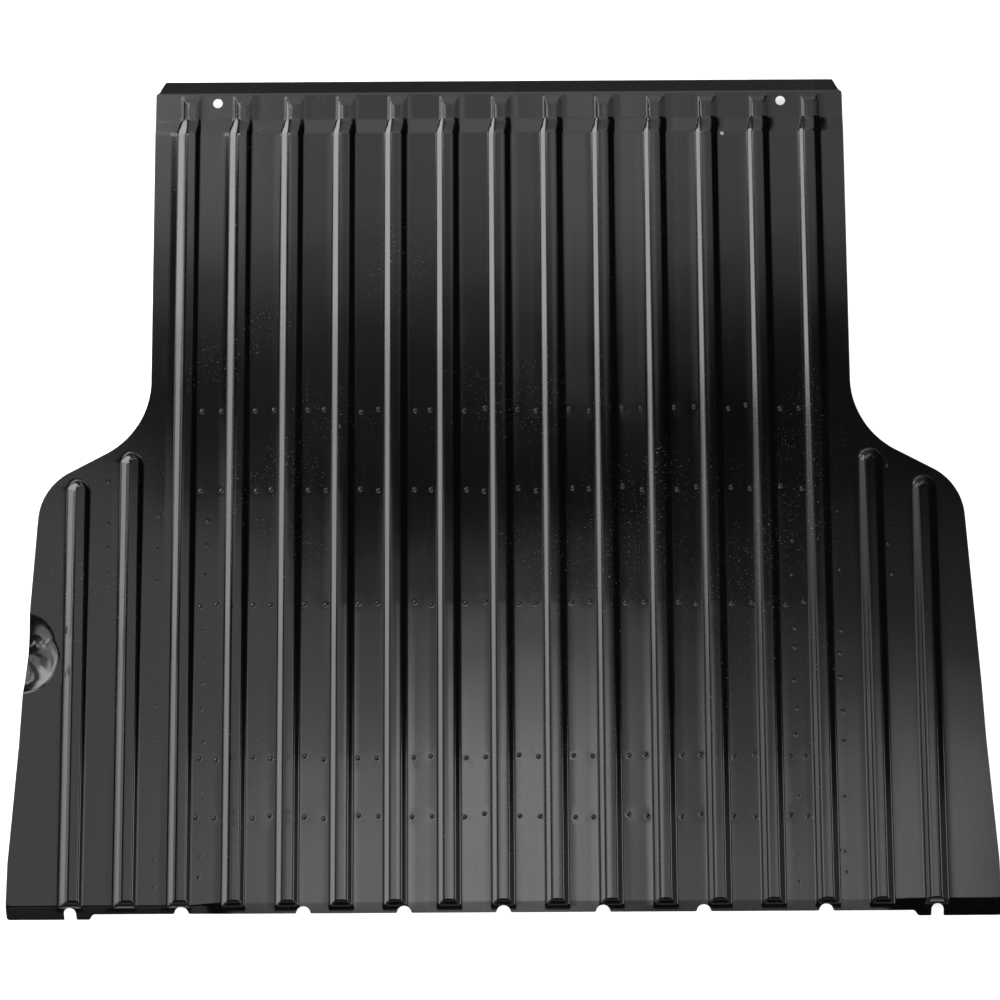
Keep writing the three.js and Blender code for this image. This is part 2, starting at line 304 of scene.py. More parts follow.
def relief_level(x, d):
    """The dish that clears the filler hose, creased across and chamfered along its rear rim."""
    u = (x - RELIEF["x"]) / RELIEF["across"]
    v = (d - RELIEF["d"]) / RELIEF["along"]
    r = np.hypot(u, np.where(v > 0, v * 0.85, v))
    chamfer = smooth_step(-r, -1.02, -RELIEF_RIM)
    inward = np.clip(1 - r / RELIEF_RIM, 0, None)
    bowl = np.clip(1 - (r / RELIEF_RIM) ** 2, 0, None)
    soft = RELIEF["depth"] * bowl ** 1.6
    steep = RELIEF["slope"] * inward - RELIEF["ease"] * smooth_max(inward - 0.2, 0, 0.05)
    rear = smooth_step(-v, -0.3, 0.2)
    crinkle = 0.028 * np.sin(13 * u) + 0.012 * np.sin(31 * u + 1)
    crease = 1.5 * np.exp(-((v - 0.16 - 0.2 * u + crinkle) / 0.055) ** 2) * bowl ** 0.7
    return -(1 - rear) * soft - rear * (steep + 0.85 * chamfer) + crease


def weld_level(x, d):
    level = np.zeros_like(x)
    for wx, wd, dent, nub, radius in WELDS:
        near = (np.abs(x - wx) < 3 * DENT_RADIUS) & (np.abs(d - wd) < 3 * DENT_RADIUS)
        square = (x[near] - wx) ** 2 + (d[near] - wd) ** 2
        level[near] += nub * np.exp(-square / radius ** 2) - dent * np.exp(-square / DENT_RADIUS ** 2)
    return level


def pressed_level(x, d):
    """Height above its flats of the panel's top as pressed, before it is welded to the sills."""
    inside = smooth_step(d, 0, 60) * smooth_step(PANEL_LENGTH - d, 0, 90)
    wave = (long_waves(x, d) + short_waves(x, d)) * inside
    return base_level(x, d) + rib_level(x, d) + relief_level(x, d) + WAVE * wave


def level(x, d):
    return pressed_level(x, d) + ridge_level(x, d) + weld_level(x, d)


# ---- The panel's mesh ----
def lines(pairs):
    """Places along one direction from (start, end, step) stretches."""
    places = []
    for start, end, step in pairs:
        count = max(1, round((end - start) / step))
        places += [start + (end - start) * i / count for i in range(count)]
    return places + [pairs[-1][1]]


# Where mesh points stand on each side of a rib's middle, close together at its two bends.
RIB_OFFSETS = (5.9, 7.2, 8.4, 9.6, 10.8, 14.8, 16.0, 17.2, 18.4, 19.6)
RIB_SIDE = 19.8


def grid_columns(fine):
    offsets = (0, *RIB_OFFSETS) if fine else (0, 8, 17.5)
    columns = {-736.0, -728.0, -712.0, 712.0, 728.0, 736.0}
    for centre, _ in ribs:
        columns |= {centre + side * offset for side in (-1, 1) for offset in offsets}
    for flat in range(-9, 9):
        middle = (flat + 0.5) * RIB_PITCH
        columns |= {middle, middle - 9, middle + 9} if fine else {middle}
    return sorted(columns)


def grid_rows(fine):
    if not fine:
        return lines([(-TAB_DEPTH, 10, 9), (10, 34, 6), (34, 620, 45), (620, 700, 9), (700, 1180, 48),
                      (1180, 1220, 6), (1220, 1249, 9), (1249, 1261, 3), (1261, PANEL_LENGTH, 7)])
    return lines([(-TAB_DEPTH, 8, 5), (8, 18, 1.7), (18, 34, 2.2), (34, 46, 4), (46, 622, 16), (622, 634, 4),
                  (634, 654, 2), (654, 676, 4), (676, 696, 2), (696, 720, 8), (720, 1180, 16),
                  (1180, 1186, 3), (1186, 1218, 1.9), (1218, 1240, 5.5), (1240, 1262, 1.6),
                  (1262, PANEL_LENGTH, 3.5)])


def inside_polygon(x, d, polygon):
    """Even-odd test of many points against a closed line."""
    inside = np.zeros(len(x), bool)
    for (x0, d0), (x1, d1) in zip(polygon, polygon[1:] + polygon[:1]):
        if d0 == d1:
            continue
        crosses = (d0 > d) != (d1 > d)
        inside ^= crosses & (x < (x1 - x0) * (d - d0) / (d1 - d0) + x0)
    return inside


def edge_distance(x, d, polygon):
    """Distance of many points from a closed line, where it is under the widest that matters."""
    best = np.full(len(x), 1e9)
    for (x0, d0), (x1, d1) in zip(polygon, polygon[1:] + polygon[:1]):
        near = (np.abs(x - x0) < 25) & (np.abs(d - d0) < 25)
        if not near.any():
            continue
        ex, ed = x1 - x0, d1 - d0
        t = np.clip(((x[near] - x0) * ex + (d[near] - d0) * ed) / (ex * ex + ed * ed), 0, 1)
        gap = np.hypot(x[near] - x0 - t * ex, d[near] - d0 - t * ed)
        best[near] = np.minimum(best[near], gap)
    return best


def ring(x, d, radius, count, turn=0.0):
    return [(x + radius * math.cos(turn + 2 * math.pi * i / count),
             d + radius * math.sin(turn + 2 * math.pi * i / count)) for i in range(count)]


def rib_distance(x):
    """How far a place is from the nearest rib's middle, with ribs taken to stand at every pitch."""
    return np.abs((x + RIB_PITCH / 2) % RIB_PITCH - RIB_PITCH / 2)


def panel_plan(edge, fine):
    """Triangles of the panel in plan. The edge's points come first."""
    holes = [ring(x, d, radius, 24 if radius > 5 else 12) for x, d, radius in FRONT_HOLES]
    x, d = np.meshgrid(grid_columns(fine), grid_rows(fine))
    x, d = x.ravel(), d.ravel()
    keep = inside_polygon(x, d, edge)
    x, d = x[keep], d[keep]
    keep = edge_distance(x, d, edge) > (1.4 if fine else 6)
    for hx, hd, radius in FRONT_HOLES:
        keep &= np.hypot(x - hx, d - hd) > radius + 1.5
    extra = []
    if fine:
        for wx, wd, *_ in WELDS:
            keep &= (np.hypot(x - wx, d - wd) > 6.2) | (rib_distance(x) < RIB_SIDE)
        keep &= ~near_relief(x, d)
        extra = weld_points() + relief_points()
    points = list(edge)
    rims = [np.arange(len(edge))]
    for hole in holes:
        rims.append(len(points) + np.arange(len(hole))[::-1])
        points += hole
    links = [(int(a), int(b)) for loop in rims for a, b in zip(loop, np.roll(loop, -1))]
    points += extra + list(zip(x[keep], d[keep]))
    plan = delaunay_2d_cdt([Vector(p) for p in points], links, [], 0, 1e-5)
    places = np.array([(v.x, v.y) for v in plan[0]])
    faces = np.array(plan[2])
    return places, faces[largest_region(faces, links)], rims


def largest_region(faces, links):
    """Which triangles belong to the largest region that the linked edges close off."""
    walls = {frozenset(link) for link in links}
    sides = {}
    for number, face in enumerate(faces.tolist()):
        for a, b in zip(face, face[1:] + face[:1]):
            sides.setdefault(frozenset((a, b)), []).append(number)
    region = np.full(len(faces), -1)
    neighbours = [[] for _ in range(len(faces))]
    for side, pair in sides.items():
        if len(pair) == 2 and side not in walls:
            neighbours[pair[0]].append(pair[1])
            neighbours[pair[1]].append(pair[0])
    for seed in range(len(faces)):
        if region[seed] >= 0:
            continue
        region[seed] = seed
        queue = [seed]
        while queue:
            for other in neighbours[queue.pop()]:
                if region[other] < 0:
                    region[other] = seed
                    queue.append(other)
    return region == np.bincount(region).argmax()


def weld_points():
    """Points at and round each weld, and along the side of the rib that it stands near."""
    points = []
    for x, d, _, _, size in WELDS:
        points.append((x, d))
        if rib_distance(x) < 34:
            rib = RIB_PITCH * round(x / RIB_PITCH)
            side = math.copysign(1, x - rib)
            points += [(rib + side * offset, d + step) for offset in RIB_OFFSETS for step in (-6, 0, 6)]
        for radius, count in ((0.5 * size, 5), (size, 7), (1.7 * size, 8), (5.2, 8)):
            around = ring(x, d, radius, count, radius)
            points += [spot for spot in around if rib_distance(spot[0]) > RIB_SIDE + 1]
    return points


def near_relief(x, d):
    return np.hypot((x - RELIEF["x"]) / RELIEF["across"], (d - RELIEF["d"]) / RELIEF["along"]) < 1.25


def relief_points():
    """Points over the dish, even across it and in arcs along its rear rim."""
    x, d = np.meshgrid(np.arange(-735, -640, 2.6), np.arange(300, 470, 2.7))
    x, d = x.ravel() + 0.3 * np.sin(d.ravel()), d.ravel()
    r = np.hypot((x - RELIEF["x"]) / RELIEF["across"], (d - RELIEF["d"]) / RELIEF["along"])
    free = (np.abs(r - 0.99) > 0.075) | (d > RELIEF["d"])
    x, d = x[free], d[free]
    for r in (0.925, 0.945, 0.965, 0.985, 1.005, 1.025, 1.05):
        angles = np.linspace(-math.pi * 0.6, 0, 50)
        x = np.append(x, RELIEF["x"] + r * RELIEF["across"] * np.cos(angles))
        d = np.append(d, RELIEF["d"] + r * RELIEF["along"] * np.sin(angles))
    edge = outline()
    keep = near_relief(x, d) & inside_polygon(x, d, edge)
    x, d = x[keep], d[keep]
    keep = edge_distance(x, d, edge) > 1.4
    return list(zip(x[keep], d[keep]))


def normals(x, d, height):
    """Unit normals of the surface with that height."""
    step = 0.05
    sx = (height(x + step, d) - height(x - step, d)) / (2 * step)
    sd = (height(x, d + step) - height(x, d - step)) / (2 * step)
    size = np.sqrt(1 + sx ** 2 + sd ** 2)
    return np.stack([-sx / size, -sd / size, 1 / size], axis=1)


def sheet_solid(name, sides, rims):
    """A closed sheet from its two sides and its edges.

    A side is its points in mm, its triangles and its normals. Both sides number their rim points alike.
    """
    (top, top_faces, top_normals), (under, under_faces, under_normals) = sides
    verts = np.vstack([top, under])
    faces = [tuple(f) for f in top_faces] + [tuple(f[::-1] + len(top)) for f in under_faces]
    loop_normals = list(top_normals[top_faces.ravel()]) + list(under_normals[under_faces[:, ::-1].ravel()])
    for loop in rims:
        for a, b in zip(loop, np.roll(loop, -1)):
            out = np.cross(verts[a] - verts[a + len(top)], verts[b] - verts[a])
            out /= -np.linalg.norm(out)
            faces.append((b, a, a + len(top), b + len(top)))
            loop_normals += [out] * 4
    mesh = bpy.data.meshes.new(name)
    mesh.from_pydata((verts * MM).tolist(), [], [list(map(int, f)) for f in faces])
    mesh.shade_smooth()
    mesh.normals_split_custom_set([tuple(n) for n in loop_normals])
    return link(name, mesh)


def link(name, mesh):
    piece = bpy.data.objects.new(name, mesh)
    bpy.context.scene.collection.objects.link(piece)
    return piece


def floor_panel():
    edge = outline()
    origin = (0, REAR_EDGE, FLOOR_TOP)
    top, top_faces, rims = panel_plan(edge, True)
    under, under_faces, _ = panel_plan(edge, False)
    fixed = sum(len(loop) for loop in rims)
    under_normal = normals(*under.T, pressed_level)
    top_place = np.column_stack([top, level(*top.T)])
    under_place = np.column_stack([under, pressed_level(*under.T)]) - STEEL * under_normal
    # The rim's lower points stay straight below the upper ones, so that the edge is upright.
    under_place[:fixed, :2] = under[:fixed]
    under_place[:fixed, 2] = top_place[:fixed, 2] - STEEL
    return sheet_solid("floor_sheet", (
        (top_place + origin, top_faces, normals(*top.T, level)),
        (under_place + origin, under_faces, -under_normal),
    ), rims)


# ---- Sills and brackets: blanks with holes and weld dents, folded to their section ----
SILL_STEEL = 1.6
SILL_BEND = 5.0
SILL_DENT = 0.5


def bent_line(corners, radius):
    """A section's line with round bends, as across, height and heading at each of its points."""
    line = []
    for i, (a, h) in enumerate(corners):
        before = corners[max(i - 1, 0)]
        after = corners[min(i + 1, len(corners) - 1)]
        heading = math.atan2(h - before[1], a - before[0]) if i else math.atan2(after[1] - h, after[0] - a)
        leaving = math.atan2(after[1] - h, after[0] - a) if i < len(corners) - 1 else heading
        turn = (leaving - heading + math.pi) % (2 * math.pi) - math.pi
        if abs(turn) < 1e-6:
            line.append((a, h, heading))
            continue
        reach = radius * math.tan(abs(turn) / 2)
        side = math.copysign(radius, turn)
        start = (a - reach * math.cos(heading), h - reach * math.sin(heading))
        centre = (start[0] - side * math.sin(heading), start[1] + side * math.cos(heading))
        steps = max(2, math.ceil(abs(turn) / math.radians(18)))
        for step in range(steps + 1):
            angle = heading + turn * step / steps
            line.append((centre[0] + side * math.sin(angle), centre[1] - side * math.cos(angle), angle))
    return np.array(line)


def blank_plan(places, half, holes, dents):
    """Triangles of a folded piece's flat blank, with straight lines at the places of its bends."""
    width, corner, count = places[-1], 5, 4
    angles = np.linspace(0, math.pi / 2, count)
    rounding = [(corner * (1 - math.cos(a)), half - corner * (1 - math.sin(a))) for a in angles]
    inner = [u for u in places if corner < u < width - corner]
    stations = list(np.linspace(-half, half, max(3, round(half / 34)) + 1)[1:-1])
    edge = [(u, -v) for u, v in rounding] + [(u, -half) for u in inner]
    edge += [(width - u, -v) for u, v in rounding[::-1]] + [(width, v) for v in stations]
    edge += [(width - u, v) for u, v in rounding]
    far = len(edge) + len(inner) - 1
    edge += [(u, half) for u in inner[::-1]]
    edge += [(u, v) for u, v in rounding[::-1]] + [(0, v) for v in stations[::-1]]
    loops = [edge]
    for u, v, across, along in holes:
        angles = np.linspace(0, 2 * math.pi, 20, endpoint=False)
        loops.append([(u + across * math.cos(a), v + along * math.sin(a)) for a in angles][::-1])
    points, rims = [], []
    for loop in loops:
        rims.append(len(points) + np.arange(len(loop)))
        points += loop
    walls = [(int(a), int(b)) for rim in rims for a, b in zip(rim, np.roll(rim, -1))]
    guides, ends = [], [-half, *stations, half]
    for number, u in enumerate(inner):
        near = [(v - along - 2, v + along + 2) for across_at, v, across, along in holes
                if abs(across_at - u) < across + 2]
        chain = [count + number]
        for v in stations:
            free = not any(start < v < end for start, end in near)
            chain.append(len(points) if free else None)
            points += [(u, v)] if free else []
        chain.append(far - number)
        for k, (one, other) in enumerate(zip(chain, chain[1:])):
            crossed = any(start < ends[k + 1] and end > ends[k] for start, end in near)
            guides += [] if crossed else [(one, other)]
    for u, v in dents:
        points.append((u, v))
        for radius, number in ((1.8, 6), (3.2, 8), (4.8, 8)):
            points += ring(u, v, radius, number)
    plan = delaunay_2d_cdt([Vector(p) for p in points], walls + guides, [], 0, 1e-5)
    faces = np.array(plan[2])
    return np.array([(v.x, v.y) for v in plan[0]]), faces[largest_region(faces, walls)], rims


def folded(node, corners, along, origin, holes=(), welds=()):
    """A sill or bracket in its CAD node's place: a blank as long as the node, folded along its corners.

    The corners run on the section's lower side, and origin is where its zero is. A hole or weld starts with
    its distance across the blank and its place along. A negative distance counts from the far side, and a
    hole at 0 is in the middle.
    """
    low, high = (np.array(corner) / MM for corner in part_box(node))
    axis = 1 if along == "Y" else 0
    middle, half = (low[axis] + high[axis]) / 2, (high[axis] - low[axis]) / 2 - 0.1
    line = bent_line(corners, SILL_BEND)
    places = np.concatenate([[0], np.cumsum(np.hypot(*np.diff(line[:, :2], axis=0).T))])
    wide = [(a + b) / 2 for a, b in zip(places, places[1:]) if b - a > 24]
    width = places[-1]
    marks = [(u % width, v - middle) for u, v in welds if abs(v - middle) < half - 7]
    cuts = [(u % width if u else width / 2, v - middle, a, b) for u, v, a, b in holes
            if abs(v - middle) < half - 25]
    plan, faces, rims = blank_plan(sorted([*places, *wide]), half, cuts, marks)

    def dent(u, v):
        depth = np.zeros_like(u)
        for mu, mv in marks:
            depth += SILL_DENT * np.exp(-((u - mu) ** 2 + (v - mv) ** 2) / 3.2 ** 2)
        return depth

    u, v = plan.T
    across, height, heading = (np.interp(u, places, column) for column in line.T)
    step = 0.1
    lean_u = (dent(u + step, v) - dent(u - step, v)) / (2 * step)
    lean_v = (dent(u, v + step) - dent(u, v - step)) / (2 * step)
    out = np.stack([np.sin(heading), np.zeros_like(u), -np.cos(heading)], axis=1)
    run = np.stack([np.cos(heading), np.zeros_like(u), np.sin(heading)], axis=1)
    lower = np.stack([across, v, height], axis=1) - dent(u, v)[:, None] * out
    upper = np.stack([across, v, height], axis=1) - SILL_STEEL * out
    lower_normal = out + lean_u[:, None] * run + lean_v[:, None] * (0, 1, 0)
    lower_normal /= np.linalg.norm(lower_normal, axis=1)[:, None]
    if along == "X":
        lower, upper, lower_normal, out = (a[:, [1, 0, 2]] for a in (lower, upper, lower_normal, out))
        shift = (middle, origin, low[2])
    else:
        # Seen from below, this blank's plan turns the other way.
        faces = faces[:, ::-1]
        rims = [rim[::-1] for rim in rims]
        shift = (origin, middle, low[2])
    return sheet_solid(node + "_pressing", (
        (lower + shift, faces, lower_normal), (upper + shift, faces, -out),
    ), rims)


CROSS_FLANGE = 22
LONG_FLANGE = 20
BOLT_HOLE = 6.5
MOUNT_X = (INNER_COLUMN + OUTER_COLUMN) / 2
DRAIN = 5


def hat(half_rim, depth, flange, share):
    """Corners of a hat section's lower side: a flange, a web, the bottom, a web and a flange."""
    body = half_rim - flange
    half = [(half_rim, depth - SILL_STEEL), (body, depth - SILL_STEEL), (body * share, 0)]
    return [(-a, h) for a, h in half] + half[::-1]


def row_welds(d, across):
    """A row's welds, on a sill's flange at that distance across its blank."""
    return [(across, wx) for wx, wd, _, _, radius in WELDS
            if abs(wd - d) < 8 and radius == ROW_WELD["radius"]]


def column_welds(x, across):
    """A column's welds, in the same way."""
    return [(across, REAR_EDGE + wd) for wx, wd, _, _, radius in WELDS
            if abs(wx + COLUMN_SHIFT - x) < 12 and radius == COLUMN_WELD["radius"]]


def middle_and_size(node):
    low, high = (np.array(corner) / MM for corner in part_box(node))
    return (low + high) / 2, high - low


def cross_sill(node, rows):
    """A wide hat under two rows of welds, with bolt and drain holes in its bottom and slots in its webs."""
    middle, size = middle_and_size(node)
    corners = hat(size[1] / 2, size[2], CROSS_FLANGE, 0.86)
    holes = [(0, x, BOLT_HOLE, BOLT_HOLE) for x in (-MOUNT_X, MOUNT_X)]
    holes += [(0, x, DRAIN, DRAIN) for x in (-300, -100, 100, 300)]
    holes += [(side * 44, x, 8, 15) for side in (-1, 1) for x in (-380, -200, 0, 200, 380)]
    welds = row_welds(rows[0], 11) + row_welds(rows[1], -11)
    return folded(node, corners, "X", middle[1], holes, welds)


def step_sill(node):
    """The Z section under one row of welds."""
    middle, size = middle_and_size(node)
    foot = size[1] - CROSS_FLANGE
    corners = [(-foot, 0), (0, 0), (0, size[2] - SILL_STEEL), (CROSS_FLANGE, size[2] - SILL_STEEL)]
    holes = [(44, x, 8, 15) for x in range(-400, 401, 160)]
    origin = middle[1] + size[1] / 2 - CROSS_FLANGE
    return folded(node, corners, "X", origin, holes, row_welds(WELD_ROWS[2], -11))


def long_sill(node, side):
    middle, size = middle_and_size(node)
    body = size[0] / 2 - LONG_FLANGE
    corners = hat(size[0] / 2, size[2], LONG_FLANGE, (body - 3) / body)
    inner, outer = (-10, 10) if side < 0 else (10, -10)
    holes = [(0, middle[1] + y, DRAIN, DRAIN) for y in (-60, 0, 60)]
    welds = column_welds(side * INNER_COLUMN, inner) + column_welds(side * OUTER_COLUMN, outer)
    return folded(node, corners, "Y", middle[0], holes, welds)


def bracket(node, side):
    middle, size = middle_and_size(node)
    top = size[2] - SILL_STEEL
    corners = [(-LONG_FLANGE, 0), (0, 0), (0, top), (LONG_FLANGE, top)]
    if side > 0:
        corners = [(-a, h) for a, h in corners[::-1]]
    origin = middle[0] - side * (size[0] / 2 - LONG_FLANGE)
    holes = [(36, middle[1] + y, 7, 12) for y in (-60, 0, 60)]
    return folded(node, corners, "Y", origin, holes, column_welds(side * BRACKET_COLUMN, 10 * side))


# ---- Pads and nuts: closed rings of points ----
def ring_solid(name, rings):
    """A closed solid through rings of as many points each, the last joined to the first again."""
    count = len(rings[0])
    verts = [tuple(point) for points in rings for point in points]
    faces = []
    for number in range(len(rings)):
        here, there = number * count, (number + 1) % len(rings) * count
        for i in range(count):
            k = (i + 1) % count
            faces.append((here + i, here + k, there + k, there + i))
    mesh = bpy.data.meshes.new(name)
    mesh.from_pydata([[c * MM for c in point] for point in verts], [], faces)
    mesh.shade_smooth()
    mesh.set_sharp_from_angle(angle=math.radians(28))
    return link(name, mesh)


def circle(middle, radius, z, angles):
    return [(middle[0] + radius * math.cos(a), middle[1] + radius * math.sin(a), z) for a in angles]


def mount_pad(node):
    """A rounded plate with broken edges, round its bolt hole."""
    middle, size = middle_and_size(node)
    bottom, top = middle[2] - size[2] / 2, middle[2] + size[2] / 2
    corner, broken, chamfer = 8, 0.6, 0.5
    corners = [np.array(signs) * (size[:2] / 2 - corner) for signs in ((1, 1), (-1, 1), (-1, -1), (1, -1))]
    spots = []
    for quarter, (here, following) in enumerate(zip(corners, corners[1:] + corners[:1])):
        start = quarter * math.pi / 2
        end = start + math.pi / 2
        spots += [(here, angle) for angle in np.linspace(start, end, 8)]
        spots += [((1 - share) * here + share * following, end) for share in np.linspace(0, 1, 10)[1:-1]]

    def border(inset, z):
        radius = corner - inset
        return [(middle[0] + cx + radius * math.cos(a), middle[1] + cy + radius * math.sin(a), z)
                for (cx, cy), a in spots]

    toward = [math.atan2(cy + corner * math.sin(a), cx + corner * math.cos(a)) for (cx, cy), a in spots]
    rings = [border(broken, bottom), border(0, bottom + broken)]
    rings += [border(0, top - broken), border(broken, top)]
    wide = BOLT_HOLE + chamfer
    bore = ((wide, top), (BOLT_HOLE, top - chamfer), (BOLT_HOLE, bottom + chamfer), (wide, bottom))
    return ring_solid(node + "_plate", rings + [circle(middle, radius, z, toward) for radius, z in bore])


def weld_nut(node):
    """A hexagon nut with chamfered corners and the ridges of its thread."""
    middle, size = middle_and_size(node)
    bottom, top = middle[2] - size[2] / 2, middle[2] + size[2] / 2
    corner, sixth = size[0] / 2, math.pi / 3
    angles = np.linspace(0, 2 * math.pi, 72, endpoint=False)

    def hexagon(most, z):
        limits = [min(most, corner * math.cos(sixth / 2) / math.cos(a % sixth - sixth / 2)) for a in angles]
        return [(middle[0] + r * math.cos(a), middle[1] + r * math.sin(a), z)
                for r, a in zip(limits, angles)]

    face, chamfer = 11.2, 0.9
    rings = [hexagon(face, bottom), hexagon(corner, bottom + chamfer)]
    rings += [hexagon(corner, top - chamfer), hexagon(face, top)]
    bore, thread, pitch = 5.2, 5.95, 1.75
    rings.append(circle(middle, thread + 0.3, top, angles))
    z = top - 0.8
    while z - pitch > bottom + 0.8:
        rings += [circle(middle, bore, z, angles), circle(middle, bore, z - 0.2, angles),
                  circle(middle, thread, z - pitch / 2, angles)]
        z -= pitch
    rings += [circle(middle, bore, z, angles), circle(middle, thread + 0.3, bottom, angles)]
    return ring_solid(node + "_hex", rings)


# ---- Materials ----
class Nodes:
    """The node tree of a new material, with short ways to add to it."""

    def __init__(self, name):
        self.material = bpy.data.materials.new(name)
        self.material.use_nodes = True
        self.tree = self.material.node_tree
        self.shader = self.tree.nodes["Principled BSDF"]
        self.place = self.tree.nodes.new("ShaderNodeTexCoord").outputs["Object"]

    def add(self, kind, inputs=None, **settings):
        node = self.tree.nodes.new("ShaderNode" + kind)
        for key, value in settings.items():
            setattr(node, key, value)
        for key, value in (inputs or {}).items():
            self.set(node.inputs[key], value)
        return node

    def set(self, socket, value):
        if isinstance(value, bpy.types.NodeSocket):
            self.tree.links.new(value, socket)
        else:
            socket.default_value = value

    def noise(self, scale, detail=2.0, stretch=(1, 1, 1)):
        spread = self.add("Mapping", {"Vector": self.place, "Scale": stretch})
        inputs = {"Vector": spread.outputs[0], "Scale": scale, "Detail": detail}
        return self.add("TexNoise", inputs).outputs["Fac"]

    def ramp(self, value, start, end, low=0.0, high=1.0):
        inputs = {"Value": value, "From Min": start, "From Max": end, "To Min": low, "To Max": high}
        return self.add("MapRange", inputs, interpolation_type="SMOOTHSTEP").outputs["Result"]

    def math(self, operation, a, b):
        return self.add("Math", {0: a, 1: b}, operation=operation).outputs[0]

    def mix(self, amount, a, b):
        node = self.add("Mix", {0: amount}, data_type="RGBA")
        self.set(node.inputs[6], a)
        self.set(node.inputs[7], b)
        return node.outputs[2]

    def bump(self, height, strength, distance, before=None):
        inputs = {"Height": height, "Strength": strength, "Distance": distance}
        if before is not None:
            inputs["Normal"] = before
        return self.add("Bump", inputs).outputs["Normal"]


def ecoat(name, tone, roughness, peel, grime):
    """Black dip coat on pressed steel: orange peel, draw marks along the press, and a little dust."""
    m = Nodes(name)
    cloud = m.noise(3.0, 3)
    draw = m.noise(30, 3, (9, 0.35, 9))
    speck = m.ramp(m.noise(420, 1), 0.69, 0.75)
    patch = m.ramp(m.noise(7, 4), 0.48, 0.72)
    dust = m.math("MULTIPLY", speck, m.math("ADD", m.math("MULTIPLY", patch, grime), 0.12 * grime))
    thin, thick = (tone * 1.7, tone * 1.7, tone * 1.75, 1), (tone, tone, tone * 1.06, 1)
    film = m.mix(m.ramp(cloud, 0.35, 0.7), thick, thin)
    m.set(m.shader.inputs["Base Color"], m.mix(dust, film, (0.16, 0.155, 0.145, 1)))
    matte = m.math("ADD", m.ramp(cloud, 0.3, 0.7, roughness - 0.015, roughness + 0.02),
                   m.math("MULTIPLY", m.ramp(draw, 0.52, 0.8), 0.03))
    m.set(m.shader.inputs["Roughness"], m.math("ADD", matte, m.math("MULTIPLY", dust, 0.5)))
    surface = m.bump(m.noise(260, 1.5), peel, 0.0004)
    surface = m.bump(draw, 0.25 * peel, 0.0006, surface)
    m.set(m.shader.inputs["Normal"], m.bump(dust, 0.35, 0.0003, surface))
    return m.material


def nut_finish():
    """Phosphated steel with a thin black coat, rubbed through to bare metal in places."""
    m = Nodes("nut_coat")
    rubbed = m.ramp(m.noise(300, 4), 0.52, 0.68)
    m.set(m.shader.inputs["Base Color"], m.mix(rubbed, (0.012, 0.012, 0.013, 1), (0.21, 0.2, 0.185, 1)))
    m.set(m.shader.inputs["Metallic"], rubbed)
    m.set(m.shader.inputs["Roughness"], m.ramp(m.noise(90, 2), 0.3, 0.7, 0.32, 0.5))
    m.set(m.shader.inputs["Normal"], m.bump(m.noise(600, 3), 0.25, 0.0003))
    return m.material


def studio_floor():
    m = Nodes("studio_floor")
    paint = m.mix(m.noise(0.8, 2), (0.88, 0.88, 0.88, 1), (0.92, 0.92, 0.92, 1))
    m.set(m.shader.inputs["Base Color"], paint)
    m.shader.inputs["Roughness"].default_value = 1.0
    m.shader.inputs["Specular IOR Level"].default_value = 0.0
    return m.material


# ---- Camera and light ----
def camera():
    """Above the floor, a little behind its middle, looking down and slightly forward."""
    data = bpy.data.cameras.new("camera")
    data.sensor_width = 36
    data.lens = 80.82
    distance = 3.4
    tilt = math.radians(7.9)
    roll = math.radians(-0.318)
    aim = Vector((-0.002, -0.016, FLOOR_TOP * MM))
    turn = Matrix.Rotation(tilt, 4, "X") @ Matrix.Rotation(roll, 4, "Z")
    eye = bpy.data.objects.new("camera", data)
    eye.matrix_world = Matrix.Translation(aim) @ turn @ Matrix.Translation((0, 0, distance))
    bpy.context.scene.collection.objects.link(eye)
    bpy.context.scene.camera = eye


CEILING = 3.4


def softbox(name, place, size, radiance, turn=(0, 0, 0)):
    """A soft rectangular light. It shines down, or the way that the turn in degrees points it."""
    data = bpy.data.lights.new(name, "AREA")
    data.shape = "RECTANGLE"
    data.size, data.size_y = size
    data.energy = radiance * math.pi * size[0] * size[1]
    box = bpy.data.objects.new(name, data)
    box.location = place
    box.rotation_euler = [math.radians(angle) for angle in turn]
    box.visible_camera = False
    bpy.context.scene.collection.objects.link(box)
    return box


